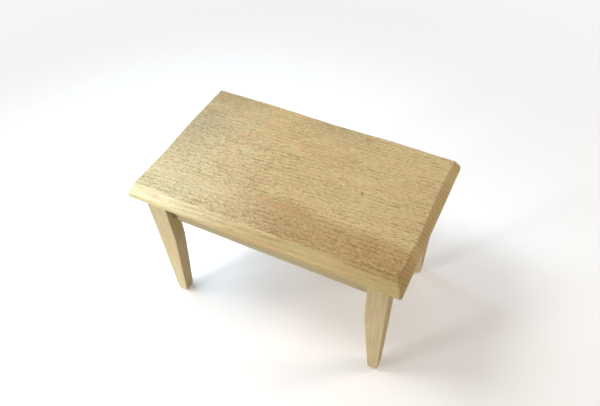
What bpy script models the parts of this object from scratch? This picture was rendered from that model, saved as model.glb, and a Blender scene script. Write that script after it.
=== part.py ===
"""Miniature dining table: a chamfered board on a frame of four tapered legs and four aprons.

The origin is on the floor under the middle of the table. +X runs along the table, +Y to the back.
"""

import math

import bmesh
import bpy
from mathutils import Vector

# Driving dimensions, in metres.
TABLE_LENGTH = 0.100
TABLE_WIDTH = 0.061
TABLE_HEIGHT = 0.064

EDGE_HEIGHT = 0.0017  # the square edge left under the chamfer
CHAMFER_DROP = 0.0039
CHAMFER_RUN = 0.0025
CORNER_RADIUS = 0.0009  # of the board's corners, seen from above

LEG_LENGTHWISE = 0.0077  # a leg's section above its taper
LEG_WIDTHWISE = 0.0060
FOOT_LENGTHWISE = 0.0039  # and at the floor
FOOT_WIDTHWISE = 0.0047
TAPER_HEIGHT = 0.036  # the taper starts here and runs down to the floor
LEG_INSET_END = 0.00425  # from the board's end to the leg's outer face
LEG_INSET_SIDE = 0.00285  # from the board's long side to the leg's outer face

APRON_HEIGHT = 0.0117
APRON_THICKNESS = 0.0025
APRON_SETBACK = 0.0028  # from a leg's outer face to the apron's outer face

TENON_LENGTH = 0.0018
TENON_THICKNESS = 0.0014
TENON_SHOULDER = 0.0019  # above and below the tenon

GAP = 0.0003  # between pieces that touch
EASING = 0.00035  # rounding of the board's and the legs' edges
MERGE_DISTANCE = 0.00001

# Worked out from them.
BOARD_THICKNESS = EDGE_HEIGHT + CHAMFER_DROP
BOARD_UNDERSIDE = TABLE_HEIGHT - BOARD_THICKNESS
FRAME_TOP = BOARD_UNDERSIDE - GAP
LEG_OUTER_X = TABLE_LENGTH / 2 - LEG_INSET_END
LEG_OUTER_Y = TABLE_WIDTH / 2 - LEG_INSET_SIDE
LEG_INNER_X = LEG_OUTER_X - LEG_LENGTHWISE
LEG_INNER_Y = LEG_OUTER_Y - LEG_WIDTHWISE
APRON_DEPTH = APRON_SETBACK + APRON_THICKNESS / 2  # from a leg's outer face to mid-apron
APRON_X = LEG_OUTER_X - APRON_DEPTH
APRON_Y = LEG_OUTER_Y - APRON_DEPTH
APRON_Z = FRAME_TOP - APRON_HEIGHT / 2
TENON_HEIGHT = APRON_HEIGHT - 2 * TENON_SHOULDER

# The signs of x and y at the table's corners.
CORNERS = {
    "front_left": (-1, -1),
    "front_right": (1, -1),
    "back_left": (-1, 1),
    "back_right": (1, 1),
}

BOARD_COLOUR = (0.60, 0.46, 0.25)
LEG_COLOUR = (0.54, 0.43, 0.25)
APRON_COLOUR = (0.50, 0.40, 0.24)
ROUGHNESS = 0.72

CORNER_SEGMENTS = 3
EASING_SEGMENTS = 2
EASED_ANGLE = 0.7  # radians between two faces, from which their edge is rounded
SMOOTH_ANGLE = 0.6  # radians, up to which an edge is shaded smooth
ALIGNED = 0.99  # the least dot product of two unit vectors that count as parallel


def clear_scene():
    for obj in list(bpy.data.objects):
        bpy.data.objects.remove(obj)


def new_collection(name):
    collection = bpy.data.collections.new(name)
    bpy.context.scene.collection.children.link(collection)
    return collection


def bare_wood(name, colour):
    material = bpy.data.materials.new(name)
    material.use_nodes = True
    shader = material.node_tree.nodes["Principled BSDF"]
    shader.inputs["Base Color"].default_value = (*colour, 1.0)
    shader.inputs["Roughness"].default_value = ROUGHNESS
    shader.inputs["Metallic"].default_value = 0.0
    return material


def box_mesh(size):
    """A box of this size, centred on its own origin."""
    mesh = bmesh.new()
    bmesh.ops.create_cube(mesh, size=1.0)
    bmesh.ops.scale(mesh, vec=size, verts=mesh.verts)
    return mesh


def add_object(name, mesh, place, collection, material=None):
    """Turns the bmesh into an object with its origin at this place."""
    data = bpy.data.meshes.new(name)
    mesh.to_mesh(data)
    mesh.free()
    if material:
        data.materials.append(material)
    obj = bpy.data.objects.new(name, data)
    obj.location = place
    collection.objects.link(obj)
    return obj


def ease_edges(obj):
    """Rounds the sharp edges slightly, as sanding does."""
    bevel = obj.modifiers.new("eased_edges", "BEVEL")
    bevel.width = EASING
    bevel.segments = EASING_SEGMENTS
    bevel.limit_method = "ANGLE"
    bevel.angle_limit = EASED_ANGLE
    obj.data.shade_smooth()
    obj.data.set_sharp_from_angle(angle=SMOOTH_ANGLE)


def faces_towards(mesh, direction):
    return [face for face in mesh.faces if face.normal.dot(Vector(direction)) > ALIGNED]


def is_upright(edge):
    along = (edge.verts[0].co - edge.verts[1].co).normalized()
    return abs(along.z) > ALIGNED


def board_mesh():
    """The square-edged slab, with its top drawn up and in to the flat inside the chamfer."""
    mesh = box_mesh((TABLE_LENGTH, TABLE_WIDTH, EDGE_HEIGHT))
    corners = [edge for edge in mesh.edges if is_upright(edge)]
    bmesh.ops.bevel(
        mesh, geom=corners, offset=CORNER_RADIUS, segments=CORNER_SEGMENTS, affect="EDGES", profile=0.5
    )
    mesh.normal_update()
    grown = bmesh.ops.extrude_discrete_faces(mesh, faces=faces_towards(mesh, (0, 0, 1)))
    for vert in grown["faces"][0].verts:
        # The chamfers meet in a sharp mitre, so a corner's points all come to one.
        vert.co.x = math.copysign(TABLE_LENGTH / 2 - CHAMFER_RUN, vert.co.x)
        vert.co.y = math.copysign(TABLE_WIDTH / 2 - CHAMFER_RUN, vert.co.y)
        vert.co.z += CHAMFER_DROP
    bmesh.ops.remove_doubles(mesh, verts=mesh.verts, dist=MERGE_DISTANCE)
    bmesh.ops.recalc_face_normals(mesh, faces=mesh.faces)
    return mesh


def make_board(parts):
    place = (0, 0, BOARD_UNDERSIDE + EDGE_HEIGHT / 2)
    board = add_object("table_top", board_mesh(), place, parts, bare_wood("board_wood", BOARD_COLOUR))
    ease_edges(board)


def leg_mesh(side_x, side_y):
    """A leg about its outer corner at the floor, tapered on the two faces inside the table."""
    mesh = box_mesh((LEG_LENGTHWISE, LEG_WIDTHWISE, FRAME_TOP))
    to_corner = (-side_x * LEG_LENGTHWISE / 2, -side_y * LEG_WIDTHWISE / 2, FRAME_TOP / 2)
    bmesh.ops.translate(mesh, vec=to_corner, verts=mesh.verts)
    everything = mesh.verts[:] + mesh.edges[:] + mesh.faces[:]
    bmesh.ops.bisect_plane(mesh, geom=everything, plane_co=(0, 0, TAPER_HEIGHT), plane_no=(0, 0, 1))
    for vert in mesh.verts:
        if vert.co.z < TAPER_HEIGHT / 2:
            vert.co.x *= FOOT_LENGTHWISE / LEG_LENGTHWISE
            vert.co.y *= FOOT_WIDTHWISE / LEG_WIDTHWISE
    return mesh


def cut_mortise(leg, name, size, middle, cutters):
    """A blind pocket in the leg: a box that reaches out through the face it opens on."""
    cutter = add_object(name, box_mesh(size), middle, cutters)
    cutter.hide_render = True
    cutter.display_type = "WIRE"
    boolean = leg.modifiers.new(name, "BOOLEAN")
    boolean.operation = "DIFFERENCE"
    boolean.solver = "EXACT"
    boolean.object = cutter


def make_leg(corner, parts, cutters, material):
    """One leg, with a mortise for the long apron and one for the end apron."""
    side_x, side_y = CORNERS[corner]
    outer_corner = (side_x * LEG_OUTER_X, side_y * LEG_OUTER_Y, 0)
    leg = add_object("leg_" + corner, leg_mesh(side_x, side_y), outer_corner, parts, material)
    ease_edges(leg)

    # A pocket is as deep as a tenon is long, and the apron's shoulder stands a gap off the leg.
    # Its box is centred on the face that it opens on.
    deep = 2 * TENON_LENGTH
    wide = TENON_THICKNESS + 2 * GAP
    tall = TENON_HEIGHT + 2 * GAP
    middle = (side_x * LEG_INNER_X, side_y * APRON_Y, APRON_Z)
    cut_mortise(leg, "mortise_long_" + corner, (deep, wide, tall), middle, cutters)
    middle = (side_x * APRON_X, side_y * LEG_INNER_Y, APRON_Z)
    cut_mortise(leg, "mortise_end_" + corner, (wide, deep, tall), middle, cutters)


def apron_mesh(length):
    """A board along X with a stub tenon on each end."""
    mesh = box_mesh((length, APRON_THICKNESS, APRON_HEIGHT))
    for end in (-1, 1):
        mesh.normal_update()
        face = faces_towards(mesh, (end, 0, 0))[0]
        # The end face is drawn in to the tenon's section, then out to its length.
        for step in (0.0, TENON_LENGTH):
            face = bmesh.ops.extrude_discrete_faces(mesh, faces=[face])["faces"][0]
            for vert in face.verts:
                vert.co.x += end * step
                vert.co.y = math.copysign(TENON_THICKNESS / 2, vert.co.y)
                vert.co.z = math.copysign(TENON_HEIGHT / 2, vert.co.z)
    return mesh


def make_long_aprons(parts, material):
    length = 2 * (LEG_INNER_X - GAP)
    for name, side in (("apron_front", -1), ("apron_back", 1)):
        add_object(name, apron_mesh(length), (0, side * APRON_Y, APRON_Z), parts, material)


def make_end_aprons(parts, material):
    length = 2 * (LEG_INNER_Y - GAP)
    for name, side in (("apron_left", -1), ("apron_right", 1)):
        apron = add_object(name, apron_mesh(length), (side * APRON_X, 0, APRON_Z), parts, material)
        apron.rotation_euler.z = math.pi / 2


def main():
    clear_scene()
    parts = new_collection("miniature_dining_table")
    cutters = new_collection("cutters")

    make_board(parts)
    leg_wood = bare_wood("leg_wood", LEG_COLOUR)
    for corner in CORNERS:
        make_leg(corner, parts, cutters, leg_wood)
    apron_wood = bare_wood("apron_wood", APRON_COLOUR)
    make_long_aprons(parts, apron_wood)
    make_end_aprons(parts, apron_wood)

    pieces = parts.objects[:] + cutters.objects[:]
    table = bpy.data.objects.new("table", None)
    parts.objects.link(table)
    for piece in pieces:
        piece.parent = table


main()
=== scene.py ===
"""Looks of the miniature dining table: a chamfered board on four legs and four aprons, all bare wood.

Lengths are in metres, in the part's own frame: the origin is on the floor under the middle of the
table, +X runs along it, +Y to its back and +Z up.
"""

import math

import bmesh
import bpy
from mathutils import Matrix, Vector, noise


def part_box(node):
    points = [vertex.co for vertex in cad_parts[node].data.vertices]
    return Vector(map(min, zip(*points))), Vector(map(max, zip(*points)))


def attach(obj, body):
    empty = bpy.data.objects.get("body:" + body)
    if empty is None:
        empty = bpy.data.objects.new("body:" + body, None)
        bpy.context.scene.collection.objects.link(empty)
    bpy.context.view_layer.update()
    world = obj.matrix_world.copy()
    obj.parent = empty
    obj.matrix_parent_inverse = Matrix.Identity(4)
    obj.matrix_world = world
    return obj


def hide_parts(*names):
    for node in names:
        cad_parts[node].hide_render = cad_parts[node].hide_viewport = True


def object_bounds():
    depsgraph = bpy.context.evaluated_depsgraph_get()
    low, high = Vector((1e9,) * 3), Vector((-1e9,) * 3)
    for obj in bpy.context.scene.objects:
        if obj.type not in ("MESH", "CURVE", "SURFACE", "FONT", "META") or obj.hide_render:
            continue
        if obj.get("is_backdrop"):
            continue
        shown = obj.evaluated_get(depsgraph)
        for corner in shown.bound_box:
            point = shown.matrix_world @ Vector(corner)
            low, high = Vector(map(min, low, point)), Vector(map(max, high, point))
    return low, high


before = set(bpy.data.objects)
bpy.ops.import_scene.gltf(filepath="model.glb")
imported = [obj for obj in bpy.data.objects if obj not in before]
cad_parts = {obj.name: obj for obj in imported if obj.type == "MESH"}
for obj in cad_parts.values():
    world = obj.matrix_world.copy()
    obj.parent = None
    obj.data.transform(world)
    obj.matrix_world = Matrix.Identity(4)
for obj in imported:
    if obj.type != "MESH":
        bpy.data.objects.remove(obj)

CAD_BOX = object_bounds()
MM = 0.001

# The board's section, as the CAD part has it.
CHAMFER_RUN = 2.5 * MM
CHAMFER_DROP = 3.9 * MM
CORNER_RADIUS = 0.9 * MM
# How the board was finished by hand.
EDGE_ROUNDING = 0.30 * MM
ARRIS_SOFTNESS = 0.13  # of the chamfer's inner line, as a share of its run
MITRE_SOFTNESS = 0.10
# How far in or out of true the chamfer's inner line was sanded, at even steps from one end of a side
# to the other. A line runs from left to right or from front to back.
CHAMFER_BENDS = {
    "front": (-0.1 * MM, -0.3 * MM, -0.9 * MM, 0.1 * MM, 0.7 * MM),
    "back": (0.2 * MM, -0.2 * MM, 0.3 * MM, -0.1 * MM, 0.1 * MM),
    "left": (0.1 * MM, 0.3 * MM, -0.2 * MM, 0.1 * MM),
    "right": (0.3 * MM, -0.1 * MM, 0.2 * MM, -0.1 * MM),
}
RIPPLE = 0.08 * MM  # a shorter unevenness of the same line
RIPPLE_LENGTH = 5 * MM
WANDER_FADE = 9 * MM  # how far in from it the top follows its bends

# The legs' shape, as the CAD part has it.
FOOT_LENGTHWISE = 3.9 * MM
FOOT_WIDTHWISE = 4.7 * MM
TAPER_HEIGHT = 36 * MM
# How the legs were finished by hand.
TAPER_BLEND = 5 * MM  # half the height over which a leg's faces turn into their taper
LEG_ROUNDING = 0.40 * MM
# How far in each foot is rounded, and how high that reaches for each millimetre in.
FOOT_ROUNDING = {
    "leg_front_left": 0.8 * MM,
    "leg_front_right": 1.3 * MM,
    "leg_back_left": 0.7 * MM,
    "leg_back_right": 0.9 * MM,
}
FOOT_ROUNDING_RISE = 1.7

# The joints, as the CAD part has them.
TENON_LENGTH = 1.8 * MM
TENON_THICKNESS = 1.4 * MM
TENON_SHOULDER = 1.9 * MM
CAD_GAP = 0.3 * MM  # between pieces that touch
# And how far apart those pieces are here.
GLUE_LINE = 0.08 * MM
GAP_CLOSED = CAD_GAP - GLUE_LINE

APRON_ROUNDING = 0.22 * MM
RING_RELIEF = 0.012 * MM  # how far the hard lines of the growth rings stand proud
SURFACE_WAVE = 0.03 * MM  # how far a sanded face is from flat
SURFACE_WAVE_LENGTH = 9 * MM
SHARP_ANGLE = math.radians(50)  # between two faces, from which their edge is shaded sharp

# Each piece's own number. It sets which stretch of the texture the piece has and where its pith was.
BOARD_SEED = 1.0
LEG_SEEDS = {
    "leg_front_left": 2.0,
    "leg_front_right": 3.0,
    "leg_back_left": 4.0,
    "leg_back_right": 5.0,
}
APRON_SEEDS = {
    "apron_front": 6.0,
    "apron_back": 7.0,
    "apron_left": 8.0,
    "apron_right": 9.0,
}


# ---------------------------------------------------------------- mesh helpers


def stations(length, edge_steps, pitch):
    """Places from 0 to length: these steps in from both ends, and even steps of about pitch between."""
    near = [0.0]
    for step in edge_steps:
        near.append(near[-1] + step)
    inner = length - 2 * near[-1]
    count = max(1, round(inner / pitch))
    middle = [near[-1] + inner * i / count for i in range(1, count)]
    return near + middle + [length - place for place in reversed(near)]


def grid_box(xs, ys, zs):
    """A closed box of quads, with a vertex wherever its surface meets these planes."""
    mesh = bmesh.new()
    end_x, end_y, end_z = len(xs) - 1, len(ys) - 1, len(zs) - 1
    verts = {}
    for i, x in enumerate(xs):
        for j, y in enumerate(ys):
            upright = i in (0, end_x) or j in (0, end_y)
            for k in range(end_z + 1) if upright else (0, end_z):
                verts[i, j, k] = mesh.verts.new((x, y, zs[k]))

    def quad(*corners):
        mesh.faces.new([verts[corner] for corner in corners])

    for i in range(end_x):
        for j in range(end_y):
            quad((i, j, 0), (i, j + 1, 0), (i + 1, j + 1, 0), (i + 1, j, 0))
            quad((i, j, end_z), (i + 1, j, end_z), (i + 1, j + 1, end_z), (i, j + 1, end_z))
    for k in range(end_z):
        for i in range(end_x):
            quad((i, 0, k), (i + 1, 0, k), (i + 1, 0, k + 1), (i, 0, k + 1))
            quad((i, end_y, k), (i, end_y, k + 1), (i + 1, end_y, k + 1), (i + 1, end_y, k))
        for j in range(end_y):
            quad((0, j, k), (0, j, k + 1), (0, j + 1, k + 1), (0, j + 1, k))
            quad((end_x, j, k), (end_x, j + 1, k), (end_x, j + 1, k + 1), (end_x, j, k + 1))
    return mesh


def soft_max(a, b, softness):
    """The larger of two numbers, with the corner between them rounded off."""
    overlap = max(softness - abs(a - b), 0.0) / softness
    return max(a, b) + overlap * overlap * softness / 4


def roll_off(distance, radius):
    """How far a rounded edge falls below its face, this far in from where the face ends."""
    if distance >= radius:
        return 0.0
    inward = (radius - distance) / radius
    return radius * (1 - math.sqrt(1 - inward * inward))


def round_corner(a, b, radius):
    """Moves a point that lies a and b in from a square corner's two sides as its rounding would."""
    if a >= radius or b >= radius:
        return a, b
    away = Vector((radius - a, radius - b))
    if away.length == 0:
        return a, b
    away *= max(away) / away.length
    return radius - away.x, radius - away.y


NOISE_SPREAD = (1.0, 2.3, -1.7)  # how far apart the noises of two seeds lie


def smooth_noise(place, length, seed):
    """Noise from -1 to 1 that changes over about this length."""
    return noise.noise(Vector(place) / length + Vector([spread * seed for spread in NOISE_SPREAD]))


def clamped(share):
    return min(max(share, 0.0), 1.0)


def smooth_step(share):
    """Goes from 0 to 1 as share does, and sets off and arrives gently."""
    return share * share * (3 - 2 * share)


def rubbed(distance, reach):
    """How much wear there is this far from an edge: 1 at it, fading over this reach."""
    share = distance / reach
    return math.exp(-share * share)


# ---------------------------------------------------------------- wood, written into the meshes


# The rings sway slowly and waver quickly: these are the distances, in millimetres, over which they do.
SWAY_ALONG, SWAY_ACROSS = 55, 38
WAVER_ALONG, WAVER_ACROSS = 11, 7
WAVER_SHARE = 0.13  # of the sway
TEXTURE_STEP = Vector((37, 11, 23))  # millimetres, from one piece's stretch of the texture to the next


class Timber:
    """The stick that a piece was cut from: which way its grain runs, and where its pith was.

    The pith's place across and through the grain, the ring width and the sway are in millimetres.
    """

    def __init__(self, along, pith, ring_width, sway, seed):
        self.along = Vector(along).normalized()
        upright = abs(self.along.z) > 0.5
        self.across = Vector((0, 1, 0)) if upright else Vector((0, 0, 1)).cross(self.along)
        self.through = self.along.cross(self.across)
        self.pith = pith
        self.ring_width = ring_width
        self.sway = sway
        self.seed = seed

    def coordinates(self, place):
        """A point as (along, across, through) the grain, in millimetres."""
        return Vector((place.dot(self.along), place.dot(self.across), place.dot(self.through))) / MM

    def texture_place(self, place):
        """The same, moved so that no two pieces share a stretch of the texture."""
        return self.coordinates(place) + TEXTURE_STEP * self.seed

    def rings(self, place):
        """How many growth rings a point is from the pith."""
        along, across, through = self.coordinates(place)
        from_pith = math.hypot(across - self.pith[0], through - self.pith[1])
        sway_at = Vector((along / SWAY_ALONG, across / SWAY_ACROSS, self.seed))
        deep = through / WAVER_ACROSS + self.seed
        waver_at = Vector((along / WAVER_ALONG, across / WAVER_ACROSS, deep))
        moved = self.sway * (noise.noise(sway_at) + WAVER_SHARE * noise.noise(waver_at))
        return (from_pith + moved) / self.ring_width


def write_attribute(data, name, kind, values):
    attribute = data.attributes.new(name, kind, "POINT")
    field = "vector" if kind == "FLOAT_VECTOR" else "value"
    attribute.data.foreach_set(field, values)


def finish_surface(mesh, timber):
    """Lets the rings stand proud, and takes the faces a little off flat."""
    mesh.normal_update()
    moves = []
    for vert in mesh.verts:
        ridge = RING_RELIEF * math.cos(2 * math.pi * timber.rings(vert.co))
        wave = SURFACE_WAVE * smooth_noise(vert.co, SURFACE_WAVE_LENGTH, timber.seed)
        moves.append(vert.normal * (ridge + wave))
    for vert, move in zip(mesh.verts, moves):
        vert.co += move


def add_piece(name, mesh, timber, material, slot, wear, *nodes):
    """Turns the bmesh into the piece that stands for these CAD nodes, and writes its grain into it."""
    data = bpy.data.meshes.new(name)
    mesh.to_mesh(data)
    mesh.free()
    data.materials.append(material)
    data.shade_smooth()
    data.set_sharp_from_angle(angle=SHARP_ANGLE)
    grain, rings, worn, end_grain, level = [], [], [], [], []
    for vert in data.vertices:
        grain.extend(timber.texture_place(vert.co))
        rings.append(timber.rings(vert.co))
        worn.append(wear(vert.co))
        end_grain.append(abs(vert.normal.dot(timber.along)))
        level.append(abs(vert.normal.z))
    write_attribute(data, "grain", "FLOAT_VECTOR", grain)
    write_attribute(data, "rings", "FLOAT", rings)
    write_attribute(data, "wear", "FLOAT", worn)
    write_attribute(data, "end_grain", "FLOAT", end_grain)
    write_attribute(data, "level", "FLOAT", level)
    piece = bpy.data.objects.new(name, data)
    bpy.context.scene.collection.objects.link(piece)
    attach(piece, "root")
    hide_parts(*nodes)
    return piece


# ---------------------------------------------------------------- materials


def add_node(tree, kind, inputs=None, **settings):
    """A node with these settings, and with each input set to a value or linked to a socket."""
    made = tree.nodes.new(kind)
    for name, value in settings.items():
        setattr(made, name, value)
    for key, value in (inputs or {}).items():
        if isinstance(value, bpy.types.NodeSocket):
            tree.links.new(value, made.inputs[key])
        else:
            made.inputs[key].default_value = value
    return made


def calculate(tree, operation, *values):
    return add_node(tree, "ShaderNodeMath", dict(enumerate(values)), operation=operation).outputs[0]


def combine(tree, operation, *vectors, output="Vector"):
    """The result of a vector operation."""
    made = add_node(tree, "ShaderNodeVectorMath", dict(enumerate(vectors)), operation=operation)
    return made.outputs[output]


def read_attribute(tree, name, output="Fac"):
    """What was written into the mesh under this name, or 0 where nothing was."""
    return add_node(tree, "ShaderNodeAttribute", attribute_name=name).outputs[output]


def stretched_noise(tree, grain, per_mm, detail=2.0, roughness=0.5):
    """Noise from 0 to 1 with this many features per millimetre along, across and through the grain."""
    place = combine(tree, "MULTIPLY", grain, per_mm)
    inputs = {"Vector": place, "Scale": 1.0, "Detail": detail, "Roughness": roughness}
    return add_node(tree, "ShaderNodeTexNoise", inputs).outputs["Fac"]


def ramp(tree, value, low, high, at_low=0.0, at_high=1.0):
    """Goes smoothly from at_low to at_high as value goes from low to high."""
    inputs = {"Value": value, "From Min": low, "From Max": high, "To Min": at_low, "To Max": at_high}
    made = add_node(tree, "ShaderNodeMapRange", inputs, interpolation_type="SMOOTHSTEP")
    return made.outputs["Result"]


def mix_colour(tree, share, first, second, blend="MIX"):
    made = add_node(tree, "ShaderNodeMix", data_type="RGBA", blend_type=blend)
    for socket, value in zip((made.inputs[0], made.inputs[6], made.inputs[7]), (share, first, second)):
        if isinstance(value, bpy.types.NodeSocket):
            tree.links.new(value, socket)
        elif isinstance(value, tuple):
            socket.default_value = (*value, 1.0)
        else:
            socket.default_value = value
    return made.outputs[2]


# How each wood looks. Colours are linear, strengths are shares of the step from pale to dark, and the
# fibres' sizes are in millimetres.
WOODS = {
    "board_wood": {
        "pale": (0.663, 0.496, 0.243),
        "dark": (0.386, 0.253, 0.093),
        "pink": (0.615, 0.354, 0.182),
        "green": (0.560, 0.495, 0.235),
        "rings": 0.48,
        "fibres": 0.43,
        "speckle": 0.55,
        "side_speckle": 0.16,
        "pores": 0.60,
        "fibre_length": 7.0,
        "fibre_width": 0.30,
    },
    "leg_wood": {
        "pale": (0.710, 0.630, 0.371),
        "dark": (0.530, 0.422, 0.219),
        "pink": (0.690, 0.486, 0.332),
        "green": (0.624, 0.630, 0.314),
        "rings": 0.16,
        "fibres": 0.62,
        "speckle": 0.20,
        "side_speckle": 0.14,
        "pores": 0.18,
        "fibre_length": 16.0,
        "fibre_width": 0.75,
    },
    "apron_wood": {
        "pale": (0.545, 0.475, 0.290),
        "dark": (0.392, 0.317, 0.163),
        "pink": (0.495, 0.380, 0.230),
        "green": (0.500, 0.465, 0.265),
        "rings": 0.22,
        "fibres": 0.50,
        "speckle": 0.20,
        "side_speckle": 0.16,
        "pores": 0.25,
        "fibre_length": 12.0,
        "fibre_width": 0.6,
    },
}
# Tints that multiply the wood's colour.
PORE_TINT = (0.60, 0.47, 0.36)
END_GRAIN_TINT = (1.10, 1.09, 1.07)
RUBBED_TINT = (1.12, 1.14, 1.20)
# partly the colour of redder wood, partly painted shadow along the front
HEARTWOOD_AND_SHADOW_TINT = (0.79, 0.71, 0.58)
# painted glare: a paler, greyer patch where light falls brightest on the top
PAINTED_GLARE_TINT = (1.06, 1.18, 1.27)
# painted shade: duller, darker patches where less light reaches the top
PAINTED_SHADE_TINT = (0.70, 0.71, 0.73)
CHAMFER_AND_HIGHLIGHT_TINT = (1.07, 1.16, 1.20)  # it is paler and less red than the flat of the top: freshly sanded wood, and partly a painted highlight for the light that strikes the chamfer
KNOT_TINT = (0.36, 0.30, 0.26)
STREAK_TINT = (0.48, 0.36, 0.28)

# The size of each pattern, as its features per millimetre along, across and through the grain.
RING_PATCHES = (0.05, 0.12, 0.12)
RING_BREAKS = (0.14, 0.6, 0.6)
PORES = (0.50, 4.6, 4.6)
PORE_PATCHES = (0.03, 0.09, 0.09)
SPECKLE = (1.05, 4.5, 4.5)
SHADE_PATCHES = (0.022, 0.10, 0.10)
PINK_PATCHES = (0.05, 0.25, 0.25)
GREEN_PATCHES = (0.07, 0.33, 0.33)

# How fine the detail in a pattern goes: how many finer layers it has, and the strength of each as a
# share of the one before.
FIBRE_DETAIL = (4.0, 0.62)
HUE_DETAIL = (5.0, 0.66)

# Ramps: the two values between which something comes in and, if that isn't 0 and 1, how strong it is
# at each of them.
LATE_WOOD = (-0.4, 1.0)  # of the cosine that is 1 in the middle of a ring's dark wood
RING_PATCH_STRENGTH = (0.3, 0.7, 0.45, 1.0)
RING_BREAK_STRENGTH = (0.34, 0.62, 0.25, 1.0)
PORE_THRESHOLD = (0.3, 0.75, 0.74, 0.62)
PORE_EDGE = (0.0, 0.08)
MOST_NOISE = (0.25, 0.75)  # few of a noise's values lie outside these
PATCH_SHADE = (0.3, 0.7, -0.10, 0.25)
PINKNESS = (0.48, 0.72, 0.0, 0.60)
GREENNESS = (0.50, 0.72, 0.0, 0.55)
END_GRAIN = (0.3, 0.95)
LEVEL_FACE = (0.75, 0.96)
RUBBED_FIBRES = (0.3, 0.7, 0.3, 0.9)
ROUGHNESS = (0.2, 0.8, 0.38, 0.48)
STREAK_FADE = (0.3, 1.0, 1.0, 0.0)
# These two are of the distance from the knot's middle, in millimetres.
KNOT_CORE = (0.25, 0.625, 1.0, 0.0)
KNOT_HALO = (0.5, 2.0, 0.25, 0.0)

END_GRAIN_STRENGTH = 0.75
SIDE_PORES = 0.4  # how strong pores are on upright faces, as a share of those on level ones
MEAN_RINGS = 0.26  # the average strength of the ring lines
COARSE_SPECKLE = 1.25  # how much stronger the speckle is where the top's texture is coarsest
COARSE_ROWS = 0.57  # and the rings
PORE_ROUGHNESS = 0.15
END_GRAIN_ROUGHNESS = 0.12
REFRACTION = 1.5
BUMP_HEIGHT = 0.085 * MM
# Heights as shares of that.
FIBRE_HEIGHT = 0.5
SPECKLE_HEIGHT = 2.0
PORE_DEPTH = 0.6

# These two are in millimetres.
STREAK_HALF_WIDTH = 0.24
STREAK_HALF_DEPTH = 1.0


def scaled(tree, value, factor):
    return calculate(tree, "MULTIPLY", value, factor)


def total(tree, first, *others):
    for other in others:
        first = calculate(tree, "ADD", first, other)
    return first


def ring_lines(tree, grain):
    """The dark late wood of each ring, stronger here and weaker there, and broken along its length."""
    turn = scaled(tree, read_attribute(tree, "rings"), 2 * math.pi)
    late_wood = ramp(tree, calculate(tree, "COSINE", turn), *LATE_WOOD)
    patches = ramp(tree, stretched_noise(tree, grain, RING_PATCHES), *RING_PATCH_STRENGTH)
    breaks = ramp(tree, stretched_noise(tree, grain, RING_BREAKS), *RING_BREAK_STRENGTH)
    return scaled(tree, scaled(tree, late_wood, patches), breaks)


def pore_dashes(tree, grain):
    """Short dark dashes along the grain, in patches. They are dots on end grain."""
    dashes = stretched_noise(tree, grain, PORES, 0.0)
    patches = stretched_noise(tree, grain, PORE_PATCHES, 1.0)
    threshold = ramp(tree, patches, *PORE_THRESHOLD)
    return ramp(tree, calculate(tree, "SUBTRACT", dashes, threshold), *PORE_EDGE)


def knot_spot(tree, grain, centre):
    """Dark inside the knot, with a faint ring about it."""
    distance = combine(tree, "DISTANCE", grain, centre, output="Value")
    return calculate(tree, "MAXIMUM", ramp(tree, distance, *KNOT_CORE), ramp(tree, distance, *KNOT_HALO))


def streak_marks(tree, grain, streaks):
    """Long dark dashes between these pairs of points, which lie along the grain."""
    marks = 0.0
    for start, end in streaks:
        half = ((end - start).length / 2, STREAK_HALF_WIDTH, STREAK_HALF_DEPTH)
        from_middle = combine(tree, "SUBTRACT", grain, (start + end) / 2)
        shares = combine(tree, "DIVIDE", from_middle, half)
        away = combine(tree, "LENGTH", shares, output="Value")
        marks = calculate(tree, "MAXIMUM", ramp(tree, away, *STREAK_FADE), marks)
    return marks


def wood_figure(tree, grain, look):
    """The wood's markings and their strengths, each as a socket."""
    level = read_attribute(tree, "level")
    across = 1 / look["fibre_width"]
    fibre_size = (1 / look["fibre_length"], across, across)
    speckle_strength = ramp(tree, level, *LEVEL_FACE, look["side_speckle"], look["speckle"])
    coarse = read_attribute(tree, "coarse")
    coarser = calculate(tree, "MULTIPLY_ADD", coarse, COARSE_SPECKLE, 1.0)
    return {
        "rings": ring_lines(tree, grain),
        "row_strength": scaled(tree, coarse, COARSE_ROWS),
        "fibres": stretched_noise(tree, grain, fibre_size, *FIBRE_DETAIL),
        "speckle": stretched_noise(tree, grain, SPECKLE, 1.0),
        "speckle_strength": scaled(tree, speckle_strength, coarser),
        "pores": pore_dashes(tree, grain),
        "pore_strength": ramp(tree, level, *LEVEL_FACE, SIDE_PORES * look["pores"], look["pores"]),
        "end_grain": ramp(tree, read_attribute(tree, "end_grain"), *END_GRAIN),
    }


def wood_shade(tree, grain, look, figure):
    """How far the wood is from its pale colour to its dark one."""
    rows = calculate(tree, "SUBTRACT", figure["rings"], MEAN_RINGS)
    speckle = ramp(tree, figure["speckle"], *MOST_NOISE, -1.0, 1.0)
    return total(
        tree,
        scaled(tree, figure["rings"], look["rings"]),
        scaled(tree, rows, figure["row_strength"]),
        ramp(tree, figure["fibres"], *MOST_NOISE, 0.0, look["fibres"]),
        scaled(tree, speckle, figure["speckle_strength"]),
        ramp(tree, stretched_noise(tree, grain, SHADE_PATCHES), *PATCH_SHADE),
    )


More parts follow.
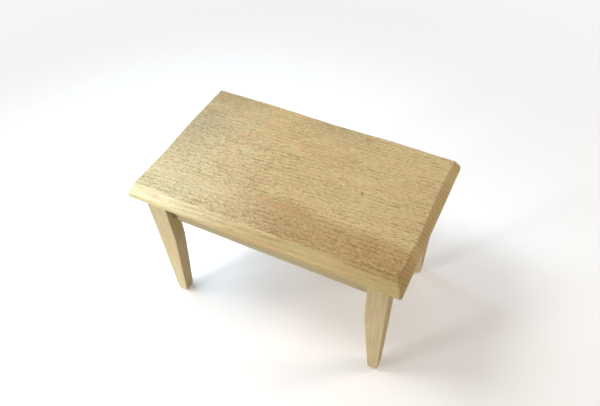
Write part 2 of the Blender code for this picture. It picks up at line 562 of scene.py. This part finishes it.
def wood_colour(tree, grain, look, figure):
    colour = mix_colour(tree, wood_shade(tree, grain, look, figure), look["pale"], look["dark"])
    pinkness = stretched_noise(tree, grain, PINK_PATCHES, *HUE_DETAIL)
    greenness = stretched_noise(tree, grain, GREEN_PATCHES, *HUE_DETAIL)
    colour = mix_colour(tree, ramp(tree, pinkness, *PINKNESS), colour, look["pink"])
    colour = mix_colour(tree, ramp(tree, greenness, *GREENNESS), colour, look["green"])
    wear = scaled(tree, read_attribute(tree, "wear"), ramp(tree, figure["fibres"], *RUBBED_FIBRES))
    for share, tint in (
        # partly redder wood, partly painted shadow
        (read_attribute(tree, "heartwood_and_shadow"), HEARTWOOD_AND_SHADOW_TINT),
        # painted glare
        (read_attribute(tree, "painted_glare"), PAINTED_GLARE_TINT),
        # painted shade
        (read_attribute(tree, "painted_shade"), PAINTED_SHADE_TINT),
        # partly freshly sanded wood, partly painted highlight
        (read_attribute(tree, "chamfered"), CHAMFER_AND_HIGHLIGHT_TINT),
        (scaled(tree, figure["pores"], figure["pore_strength"]), PORE_TINT),
        (scaled(tree, figure["end_grain"], END_GRAIN_STRENGTH), END_GRAIN_TINT),
        (wear, RUBBED_TINT),
    ):
        colour = mix_colour(tree, share, colour, tint, "MULTIPLY")
    return colour


def wood_roughness(tree, figure):
    return total(
        tree,
        ramp(tree, figure["fibres"], *ROUGHNESS),
        scaled(tree, figure["pores"], PORE_ROUGHNESS),
        scaled(tree, figure["end_grain"], END_GRAIN_ROUGHNESS),
    )


def wood_relief(tree, figure):
    """The normal of a surface on which fibres and speckle stand up and pores are sunk."""
    height = total(
        tree,
        scaled(tree, figure["fibres"], FIBRE_HEIGHT),
        scaled(tree, figure["speckle"], scaled(tree, figure["speckle_strength"], SPECKLE_HEIGHT)),
        scaled(tree, figure["pores"], -PORE_DEPTH),
    )
    inputs = {"Strength": 1.0, "Distance": BUMP_HEIGHT, "Height": height}
    return add_node(tree, "ShaderNodeBump", inputs).outputs["Normal"]


def bare_wood(name, knot=None, streaks=()):
    """Sanded, unvarnished wood: rings, fibres, speckle, pores, paler end grain and rubbed edges."""
    look = WOODS[name]
    material = bpy.data.materials.new(name)
    material.use_nodes = True
    tree = material.node_tree
    tree.nodes.clear()
    grain = read_attribute(tree, "grain", "Vector")
    figure = wood_figure(tree, grain, look)
    colour = wood_colour(tree, grain, look, figure)
    if knot:
        colour = mix_colour(tree, knot_spot(tree, grain, knot), colour, KNOT_TINT, "MULTIPLY")
    if streaks:
        colour = mix_colour(tree, streak_marks(tree, grain, streaks), colour, STREAK_TINT, "MULTIPLY")
    inputs = {
        "Base Color": colour,
        "Roughness": wood_roughness(tree, figure),
        "Normal": wood_relief(tree, figure),
        "IOR": REFRACTION,
    }
    shader = add_node(tree, "ShaderNodeBsdfPrincipled", inputs)
    add_node(tree, "ShaderNodeOutputMaterial", {"Surface": shader.outputs[0]})
    return material


# ---------------------------------------------------------------- the board


# Steps between the mesh's lines, going in from each edge: over its rounding, up the chamfer, and past
# the chamfer's inner line.
BOARD_STEPS = [0.04 * MM, 0.06 * MM, 0.08 * MM, 0.12 * MM] + [0.37 * MM] * 5 + [0.1 * MM] * 8
BOARD_PITCH_LENGTHWISE = 1.0 * MM
BOARD_PITCH_WIDTHWISE = 0.3 * MM
BOARD_PITCH_UPRIGHT = 0.2  # of its thickness


def between(values, share):
    """Passes smoothly through these evenly spaced values as share goes from 0 to 1."""
    steps = len(values) - 1
    first = min(int(share * steps), steps - 1)
    blend = smooth_step(share * steps - first)
    return values[first] + (values[first + 1] - values[first]) * blend


def chamfer_wander(side, place, length):
    """How far the chamfer's inner line is from straight, at this place along one side of the board."""
    seed = 1.0 + list(CHAMFER_BENDS).index(side)
    ripple = RIPPLE * smooth_noise((place, 0, 0), RIPPLE_LENGTH, seed)
    return between(CHAMFER_BENDS[side], clamped(place / length)) + ripple


def follow_wander(distance, wander):
    """A distance in from the board's edge, moved along with the bends of the chamfer's inner line."""
    if distance < CHAMFER_RUN:
        return distance * (1 + wander / CHAMFER_RUN)
    fade = max(0.0, 1 - (distance - CHAMFER_RUN) / WANDER_FADE)
    return distance + wander * fade


def board_mesh(low, high):
    """The board between these corners, with its chamfer, its softened mitres and its rounded edges."""
    size = high - low
    xs = stations(size.x, BOARD_STEPS, BOARD_PITCH_LENGTHWISE)
    ys = stations(size.y, BOARD_STEPS, BOARD_PITCH_WIDTHWISE)
    mesh = grid_box(xs, ys, stations(1.0, [], BOARD_PITCH_UPRIGHT))
    for vert in mesh.verts:
        x, y, share = vert.co
        from_end, from_side = min(x, size.x - x), min(y, size.y - y)
        drop = soft_max(1 - from_end / CHAMFER_RUN, 1 - from_side / CHAMFER_RUN, MITRE_SOFTNESS)
        drop = CHAMFER_DROP * soft_max(drop, 0.0, ARRIS_SOFTNESS)
        bottom = roll_off(min(from_end, from_side), EDGE_ROUNDING)
        top = size.z - drop - bottom

        end_wander = chamfer_wander("left" if x < size.x / 2 else "right", y, size.y)
        side_wander = chamfer_wander("front" if y < size.y / 2 else "back", x, size.x)
        in_x = follow_wander(from_end, end_wander)
        in_y = follow_wander(from_side, side_wander)
        in_x, in_y = round_corner(in_x, in_y, CORNER_RADIUS)
        vert.co.x = in_x if x < size.x / 2 else size.x - in_x
        vert.co.y = in_y if y < size.y / 2 else size.y - in_y
        vert.co.z = bottom + share * (top - bottom)
    bmesh.ops.translate(mesh, vec=low, verts=mesh.verts)
    return mesh


def from_edge(place, low, high):
    """How far this point is in from the nearest edge of the board."""
    return min(place.x - low.x, high.x - place.x, place.y - low.y, high.y - place.y)


# How far the wear reaches on either side of the chamfer's inner line, and in from the board's edge.
RUBBED_ARRIS = 0.45 * MM
RUBBED_EDGE = 0.35 * MM


def board_wear(low, high):
    """Where the board's edges are rubbed: its outer edge and the chamfer's inner line."""

    def wear(place):
        edge = from_edge(place, low, high)
        return max(rubbed(edge - CHAMFER_RUN, RUBBED_ARRIS), rubbed(edge, RUBBED_EDGE))

    return wear


# The knot and the dark streaks in the top, in millimetres: the knot's x and y, and for each streak the
# x where it starts, the x where it ends and its y.
KNOT = (24.4, -0.3)
STREAKS = (
    (14.0, 19.0, 25.1),
    (41.0, 44.5, 22.3),
    (14.0, 19.0, 12.2),
    (21.0, 25.0, 11.2),
    (33.0, 38.8, -1.2),
    (36.7, 40.0, -5.3),
    (37.2, 41.0, -8.1),
    (45.0, 47.8, -12.0),
    (34.0, 37.2, -13.8),
)
# A band along the front, on the right, that is partly redder wood and partly painted shadow: it darkens
# the top and its chamfer there as a shadow falling over them would.
HEARTWOOD_AND_SHADOW_BACK = -12.5 * MM  # its hindmost line, which wanders
HEARTWOOD_AND_SHADOW_WANDER = 3 * MM
HEARTWOOD_AND_SHADOW_WANDER_LENGTH = 22 * MM
HEARTWOOD_AND_SHADOW_BACK_BLEND = 4 * MM
HEARTWOOD_AND_SHADOW_LEFT = -20 * MM
HEARTWOOD_AND_SHADOW_LEFT_BLEND = 28 * MM
HEARTWOOD_AND_SHADOW_ON_CHAMFER = 0.5  # how much of its redness and painted shadow the chamfer keeps
HEARTWOOD_AND_SHADOW_SEED = 2.0


def heartwood_and_shadow(place):
    """How far into the band of redder wood and painted shadow this point is."""
    bend = smooth_noise((place.x, 0, 0), HEARTWOOD_AND_SHADOW_WANDER_LENGTH, HEARTWOOD_AND_SHADOW_SEED)
    wander = HEARTWOOD_AND_SHADOW_WANDER * bend
    forward = (HEARTWOOD_AND_SHADOW_BACK + wander - place.y) / HEARTWOOD_AND_SHADOW_BACK_BLEND
    rightward = (place.x - HEARTWOOD_AND_SHADOW_LEFT) / HEARTWOOD_AND_SHADOW_LEFT_BLEND
    return clamped(forward) * clamped(rightward)


# Patches of painted light on the top: painted glare where it is paler, at the front left, and painted
# shade where it is duller, at the back and the left. Each round patch has its middle, its reach and how
# much it changes the wood at its middle.
PAINTED_GLARE = ((Vector((-46, -30)) * MM, 42 * MM, 1.0),)
PAINTED_SHADE = (
    (Vector((-46, 32)) * MM, 36 * MM, 1.0),
    (Vector((-47, 9)) * MM, 26 * MM, 1.0),
    (Vector((5, 34)) * MM, 20 * MM, 0.6),
)


def in_patches(place, patches):
    """How far into these patches of the top this point is."""
    most = 0.0
    for middle, reach, strength in patches:
        inward = max(1 - (place.xy - middle).length / reach, 0.0)
        most = max(most, strength * smooth_step(inward))
    return most


# The top's texture is coarser at the front, and at the left but for the back. Each edge of that part
# has the line where it starts, and the distance over which it comes in.
COARSE_LEFT, COARSE_LEFT_BLEND = -5 * MM, 25 * MM
COARSE_BACK, COARSE_BACK_BLEND = 16 * MM, 14 * MM
COARSE_FRONT, COARSE_FRONT_BLEND = -6 * MM, 20 * MM


def coarseness(place):
    leftward = (COARSE_LEFT - place.x) / COARSE_LEFT_BLEND
    from_back = (COARSE_BACK - place.y) / COARSE_BACK_BLEND
    forward = (COARSE_FRONT - place.y) / COARSE_FRONT_BLEND
    return clamped(max(min(leftward, from_back), forward))


CHAMFER_COLOUR_BLEND = 0.5 * MM


def chamfered(place, low, high):
    """0 on the flat of the top, and 1 a little way out over the chamfer and beyond."""
    return clamped((CHAMFER_RUN - from_edge(place, low, high)) / CHAMFER_COLOUR_BLEND)


def write_zones(board, low, high):
    """Writes how far each point of the board is into each zone of its colour and texture."""
    zones = {"chamfered": [], "heartwood_and_shadow": [], "coarse": [], "painted_glare": [], "painted_shade": []}
    for vert in board.data.vertices:
        place = vert.co
        out = chamfered(place, low, high)
        zones["chamfered"].append(out)
        # partly redder wood, partly painted shadow
        zones["heartwood_and_shadow"].append(heartwood_and_shadow(place) * (1 - (1 - HEARTWOOD_AND_SHADOW_ON_CHAMFER) * out))
        zones["coarse"].append(coarseness(place) * (1 - out))
        # painted glare
        zones["painted_glare"].append(in_patches(place, PAINTED_GLARE))
        # painted shade
        zones["painted_shade"].append(in_patches(place, PAINTED_SHADE))
    for name, shares in zones.items():
        write_attribute(board.data, name, "FLOAT", shares)


def make_board():
    low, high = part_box("table_top")
    timber = Timber(along=(1, 0.04, 0), pith=(-70.0, 40.0), ring_width=1.55, sway=1.8, seed=BOARD_SEED)
    mesh = board_mesh(low, high)
    finish_surface(mesh, timber)

    def on_top(x, y):
        """Where in the texture this point of the top lies."""
        return timber.texture_place(Vector((x, y, high.z / MM)) * MM)

    streaks = [(on_top(start, y), on_top(end, y)) for start, end, y in STREAKS]
    material = bare_wood("board_wood", on_top(*KNOT), streaks)
    board = add_piece("board", mesh, timber, material, "top", board_wear(low, high), "table_top")
    write_zones(board, low, high)


# ---------------------------------------------------------------- the legs


# Steps between the mesh's lines, going in from each long edge: over its rounding, then over the foot's.
LEG_STEPS = [0.05 * MM, 0.08 * MM, 0.12 * MM, 0.15 * MM] + [0.25 * MM] * 4
LEG_PITCH = 0.8 * MM
# And going in from the leg's two ends, as shares of its height.
LEG_END_STEPS = [0.006, 0.008]
LEG_PITCH_UPRIGHT = 0.014


def taper(height, foot_share):
    """A leg's width at this height, as a share of its full width."""
    below = (TAPER_HEIGHT - height) / TAPER_HEIGHT
    below = soft_max(below, 0.0, TAPER_BLEND / TAPER_HEIGHT)
    return 1 - (1 - foot_share) * below


def leg_mesh(size, side_x, side_y, foot_rounding):
    """A leg about its outer corner, tapered on its two inner faces and rounded at its foot."""
    xs = stations(size.x, LEG_STEPS, LEG_PITCH)
    ys = stations(size.y, LEG_STEPS, LEG_PITCH)
    mesh = grid_box(xs, ys, stations(1.0, LEG_END_STEPS, LEG_PITCH_UPRIGHT))
    foot_share_x, foot_share_y = FOOT_LENGTHWISE / size.x, FOOT_WIDTHWISE / size.y
    for vert in mesh.verts:
        x, y, share = vert.co
        in_x, in_y = min(x, size.x - x), min(y, size.y - y)
        inward = min(foot_share_x * in_x, foot_share_y * in_y)
        bottom = FOOT_ROUNDING_RISE * roll_off(inward, foot_rounding)
        height = bottom + share * (size.z - bottom)
        in_x, in_y = round_corner(in_x, in_y, LEG_ROUNDING)
        x = in_x if x < size.x / 2 else size.x - in_x
        y = in_y if y < size.y / 2 else size.y - in_y
        x *= taper(height, foot_share_x)
        y *= taper(height, foot_share_y)
        vert.co = (-side_x * x, -side_y * y, height)
    if side_x * side_y < 0:
        bmesh.ops.reverse_faces(mesh, faces=mesh.faces)
    return mesh


def box_cutter(name, low, high):
    mesh = grid_box((low.x, high.x), (low.y, high.y), (low.z, high.z))
    data = bpy.data.meshes.new(name)
    mesh.to_mesh(data)
    mesh.free()
    cutter = bpy.data.objects.new(name, data)
    bpy.context.scene.collection.objects.link(cutter)
    return cutter


def mortised(mesh, pockets):
    """The mesh with these boxes cut out of it."""
    data = bpy.data.meshes.new("blank")
    mesh.to_mesh(data)
    mesh.free()
    blank = bpy.data.objects.new("blank", data)
    bpy.context.scene.collection.objects.link(blank)
    cutters = [box_cutter(f"pocket_{i}", low, high) for i, (low, high) in enumerate(pockets)]
    for cutter in cutters:
        boolean = blank.modifiers.new(cutter.name, "BOOLEAN")
        boolean.operation = "DIFFERENCE"
        boolean.solver = "EXACT"
        boolean.object = cutter
    graph = bpy.context.evaluated_depsgraph_get()
    cut = bmesh.new()
    cut.from_object(blank, graph)
    for obj in (blank, *cutters):
        bpy.data.objects.remove(obj)
    return cut


def apron_box(node):
    """The CAD node's box, made as much taller and longer as the apron closes of its gaps."""
    low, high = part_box(node)
    along = 0 if high.x - low.x > high.y - low.y else 1
    low[along] -= GAP_CLOSED
    high[along] += GAP_CLOSED
    high.z += GAP_CLOSED
    return low, high, along


def pocket_for(node, side_x, side_y):
    """The space that this apron's tenon needs in a leg, with a glue line all round."""
    low, high, along = apron_box(node)
    side = (side_x, side_y)[along]
    end = high[along] if side > 0 else low[along]
    middle = (low + high) / 2
    middle[along] = end - side * TENON_LENGTH  # so it reaches out through the face that it opens on
    half = Vector((0.0, 0.0, (high.z - low.z) / 2 - TENON_SHOULDER + GLUE_LINE))
    half[1 - along] = TENON_THICKNESS / 2 + GLUE_LINE
    half[along] = TENON_LENGTH + GLUE_LINE
    return middle - half, middle + half


# How far the wear reaches in from a leg's long edges and up from its foot.
RUBBED_LEG_EDGE = 0.4 * MM
RUBBED_FOOT = 0.7 * MM


def leg_wear(size, corner):
    """Where a leg's edges are rubbed: its four long edges and its foot."""

    def wear(place):
        x = abs(place.x - corner.x) / taper(place.z, FOOT_LENGTHWISE / size.x)
        y = abs(place.y - corner.y) / taper(place.z, FOOT_WIDTHWISE / size.y)
        edge = math.hypot(min(x, size.x - x), min(y, size.y - y))
        return max(rubbed(edge, RUBBED_LEG_EDGE), rubbed(place.z, RUBBED_FOOT))

    return wear


def make_leg(node, seed, material):
    low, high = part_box(node)
    side_x = math.copysign(1, low.x + high.x)
    side_y = math.copysign(1, low.y + high.y)
    corner = Vector((high.x if side_x > 0 else low.x, high.y if side_y > 0 else low.y, 0.0))
    size = Vector((high.x - low.x, high.y - low.y, high.z - low.z + GAP_CLOSED))
    pith = (-45 + 9 * seed, 28 + 5 * seed)  # each leg came from its own place in the log
    timber = Timber(along=(0, 0, 1), pith=pith, ring_width=1.35, sway=0.5, seed=seed)
    mesh = leg_mesh(size, side_x, side_y, FOOT_ROUNDING[node])
    bmesh.ops.translate(mesh, vec=corner, verts=mesh.verts)
    finish_surface(mesh, timber)
    long_apron = "apron_front" if side_y < 0 else "apron_back"
    end_apron = "apron_left" if side_x < 0 else "apron_right"
    mesh = mortised(mesh, [pocket_for(apron, side_x, side_y) for apron in (long_apron, end_apron)])
    name = node.replace("leg", "tapered_leg")
    add_piece(name, mesh, timber, material, "leg", leg_wear(size, corner), node)


# ---------------------------------------------------------------- the aprons


# Steps between the mesh's lines, going in from each edge over its rounding.
APRON_STEPS = [0.04 * MM, 0.07 * MM, 0.11 * MM]
APRON_PITCH_LENGTHWISE = 1.2 * MM
APRON_PITCH_THROUGH = 0.5 * MM
APRON_PITCH_UPRIGHT = 0.8 * MM


def apron_mesh(length, thickness, height):
    """An apron along X about its middle, with a stub tenon on either end."""
    shoulder = (thickness - TENON_THICKNESS) / 2
    to_tenon = shoulder - sum(APRON_STEPS)
    up_to_tenon = TENON_SHOULDER - sum(APRON_STEPS)
    xs = stations(length, APRON_STEPS, APRON_PITCH_LENGTHWISE)
    ys = stations(thickness, APRON_STEPS + [to_tenon], APRON_PITCH_THROUGH)
    zs = stations(height, APRON_STEPS + [up_to_tenon], APRON_PITCH_UPRIGHT)
    mesh = grid_box(xs, ys, zs)
    mesh.normal_update()
    ends = []
    for face in mesh.faces:
        middle = face.calc_center_median()
        at_end = abs(face.normal.x) > 0.5
        in_tenon = shoulder < middle.y < thickness - shoulder
        if at_end and in_tenon and TENON_SHOULDER < middle.z < height - TENON_SHOULDER:
            ends.append(face)
    for vert in mesh.verts:
        x, y, z = vert.co
        in_y, in_z = round_corner(min(y, thickness - y), min(z, height - z), APRON_ROUNDING)
        y = in_y if y < thickness / 2 else thickness - in_y
        z = in_z if z < height / 2 else height - in_z
        vert.co = (x, y, z)
    grown = bmesh.ops.extrude_face_region(mesh, geom=ends)
    for vert in grown["geom"]:
        if isinstance(vert, bmesh.types.BMVert):
            vert.co.x += math.copysign(TENON_LENGTH, vert.co.x - length / 2)
    bmesh.ops.delete(mesh, geom=[face for face in ends if face.is_valid], context="FACES_ONLY")
    bmesh.ops.translate(mesh, vec=(-length / 2, -thickness / 2, -height / 2), verts=mesh.verts)
    return mesh


RUBBED_APRON_EDGE = 0.4 * MM
APRON_WEAR = 0.6  # less than on the other edges, since these are out of reach under the top


def apron_wear(low):
    """Where an apron's edges are rubbed: its lower ones."""

    def wear(place):
        return APRON_WEAR * rubbed(place.z - low.z, RUBBED_APRON_EDGE)

    return wear


def make_apron(node, seed, material):
    low, high, along = apron_box(node)
    size = high - low
    mesh = apron_mesh(size[along] - 2 * TENON_LENGTH, size[1 - along], size.z)
    if along == 1:
        bmesh.ops.rotate(mesh, matrix=Matrix.Rotation(math.pi / 2, 3, "Z"), verts=mesh.verts)
    bmesh.ops.translate(mesh, vec=(low + high) / 2, verts=mesh.verts)
    pith = (30 + 4 * seed, -60 - 7 * seed)  # each apron came from its own place in the log
    timber = Timber(along=(1 - along, along, 0), pith=pith, ring_width=1.45, sway=0.8, seed=seed)
    finish_surface(mesh, timber)
    name = node.replace("apron", "rail")
    add_piece(name, mesh, timber, material, "apron", apron_wear(low), node)


# ---------------------------------------------------------------- floor, light and camera


WHITE = (1.0, 1.0, 1.0)
FLOOR_SIZE = 3.0
FLOOR_CLEARANCE = 0.02 * MM  # under the feet
FLOOR_FADE = (0.09, 0.30)  # from here to here, going out from the table, the floor melts into the wall
FLOOR_COLOUR = (0.92, 0.92, 0.92)
FLOOR_BOUNCE = (0.82, 0.72, 0.60)  # its colour in the light that it throws back on the table
FLOOR_GLOW = 0.16  # lifts the shadow on it


def floor_paint():
    material = bpy.data.materials.new("floor_paint")
    material.use_nodes = True
    tree = material.node_tree
    tree.nodes.clear()
    place = add_node(tree, "ShaderNodeNewGeometry").outputs["Position"]
    away = combine(tree, "LENGTH", place, output="Value")
    seen = add_node(tree, "ShaderNodeLightPath").outputs["Is Camera Ray"]
    inputs = {
        "Base Color": mix_colour(tree, seen, FLOOR_BOUNCE, FLOOR_COLOUR),
        "Roughness": 0.9,
        "Specular IOR Level": 0.1,
        "Emission Color": (*WHITE, 1.0),
        "Emission Strength": scaled(tree, seen, FLOOR_GLOW),
    }
    paint = add_node(tree, "ShaderNodeBsdfPrincipled", inputs).outputs[0]
    nothing = add_node(tree, "ShaderNodeBsdfTransparent").outputs[0]
    faded = ramp(tree, away, *FLOOR_FADE)
    shown = add_node(tree, "ShaderNodeMixShader", {0: faded, 1: paint, 2: nothing}).outputs[0]
    add_node(tree, "ShaderNodeOutputMaterial", {"Surface": shown})
    return material


def make_floor():
    material = floor_paint()
    mesh = bmesh.new()
    bmesh.ops.create_grid(mesh, x_segments=1, y_segments=1, size=FLOOR_SIZE)
    data = bpy.data.meshes.new("floor")
    mesh.to_mesh(data)
    mesh.free()
    data.materials.append(material)
    floor = bpy.data.objects.new("floor", data)
    floor.location.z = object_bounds()[0].z - FLOOR_CLEARANCE
    bpy.context.scene.collection.objects.link(floor)
    floor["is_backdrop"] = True


def aim(obj, target):
    obj.rotation_euler = (Vector(target) - obj.location).to_track_quat("-Z", "Y").to_euler()


DAYLIGHT = (0.45, 0.74, 1.0)
WARM = (1.0, 0.89, 0.79)
# Name, place, side of the square lamp, watts and colour. Daylight comes from the left, high and low,
# with a warm fill from the right and a faint one from behind.
LAMPS = (
    ("near_left", (-0.13, 0.03, 0.17), 0.10, 0.16, DAYLIGHT),
    ("left", (-0.13, -0.06, 0.30), 0.10, 0.50, WHITE),
    ("low_left", (-0.22, -0.26, 0.08), 0.08, 0.30, WHITE),
    ("far_left", (-0.30, -0.40, 0.10), 0.08, 0.78, WHITE),
    ("right", (0.44, 0.25, 0.37), 0.22, 1.25, WARM),
    ("behind", (0.0, 0.51, 0.37), 0.22, 0.25, WHITE),
)
LAMP_TARGET = (0.0, 0.0, 0.05)
AMBIENT = 0.25
WARM_SIDE = (0.76, 0.57, 0.39)  # the room's colour on the right, away from the window
WARM_SIDE_BLEND = (-0.2, 0.8)  # how far right a direction points where it sets in and is full
BACKGROUND = 0.92


def add_lamp(name, place, size, watts, colour):
    data = bpy.data.lights.new(name, "AREA")
    data.shape = "SQUARE"
    data.size = size
    data.energy = watts
    data.color = colour
    lamp = bpy.data.objects.new(name, data)
    lamp.location = place
    lamp.visible_camera = False
    bpy.context.scene.collection.objects.link(lamp)
    aim(lamp, LAMP_TARGET)


def make_world():
    """A dim room for the light, warmer on its right, and a pale wall behind the table."""
    world = bpy.data.worlds.new("studio")
    world.use_nodes = True
    tree = world.node_tree
    tree.nodes.clear()
    seen = add_node(tree, "ShaderNodeLightPath").outputs["Is Camera Ray"]
    towards = add_node(tree, "ShaderNodeTexCoord").outputs["Generated"]
    rightward = add_node(tree, "ShaderNodeSeparateXYZ", {0: towards}).outputs["X"]
    room = mix_colour(tree, ramp(tree, rightward, *WARM_SIDE_BLEND), WHITE, WARM_SIDE)
    fill = add_node(tree, "ShaderNodeBackground", {"Color": room, "Strength": AMBIENT}).outputs[0]
    wall_look = {"Color": (*WHITE, 1.0), "Strength": BACKGROUND}
    wall = add_node(tree, "ShaderNodeBackground", wall_look).outputs[0]
    shown = add_node(tree, "ShaderNodeMixShader", {0: seen, 1: fill, 2: wall}).outputs[0]
    add_node(tree, "ShaderNodeOutputWorld", {"Surface": shown})
    bpy.context.scene.world = world


def make_lights():
    make_world()
    for lamp in LAMPS:
        add_lamp(*lamp)


CAMERA_AT = (0.0653, -0.1172, 0.1951)
CAMERA_AIM = (0.0230, -0.0289, 0.0640)
CAMERA_ROLL = math.radians(-0.42)
# These two are in millimetres.
CAMERA_LENS = 32.33
CAMERA_SENSOR = 36.0
# As shares of the picture's width. They put the lens's axis low and to the right of its middle.
CAMERA_SHIFT = (-0.0358, 0.0868)
CAMERA_RANGE = (0.01, 20.0)


def make_camera():
    data = bpy.data.cameras.new("camera")
    data.sensor_width = CAMERA_SENSOR
    data.lens = CAMERA_LENS
    data.shift_x, data.shift_y = CAMERA_SHIFT
    data.clip_start, data.clip_end = CAMERA_RANGE
    camera = bpy.data.objects.new("camera", data)
    camera.location = CAMERA_AT
    looking = (Vector(CAMERA_AIM) - camera.location).to_track_quat("-Z", "Y").to_matrix()
    camera.rotation_euler = (looking @ Matrix.Rotation(CAMERA_ROLL, 3, "Z")).to_euler()
    bpy.context.scene.collection.objects.link(camera)
    bpy.context.scene.camera = camera


# ---------------------------------------------------------------- the scene

bpy.context.scene.view_settings.view_transform = "Standard"
make_camera()
make_board()
leg_wood = bare_wood("leg_wood")
for node, seed in LEG_SEEDS.items():
    make_leg(node, seed, leg_wood)
apron_wood = bare_wood("apron_wood")
for node, seed in APRON_SEEDS.items():
    make_apron(node, seed, apron_wood)
make_floor()
make_lights()

boxes = {"cad": CAD_BOX, "visual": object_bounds()}
{name: [list(corner) for corner in box] for name, box in boxes.items()}
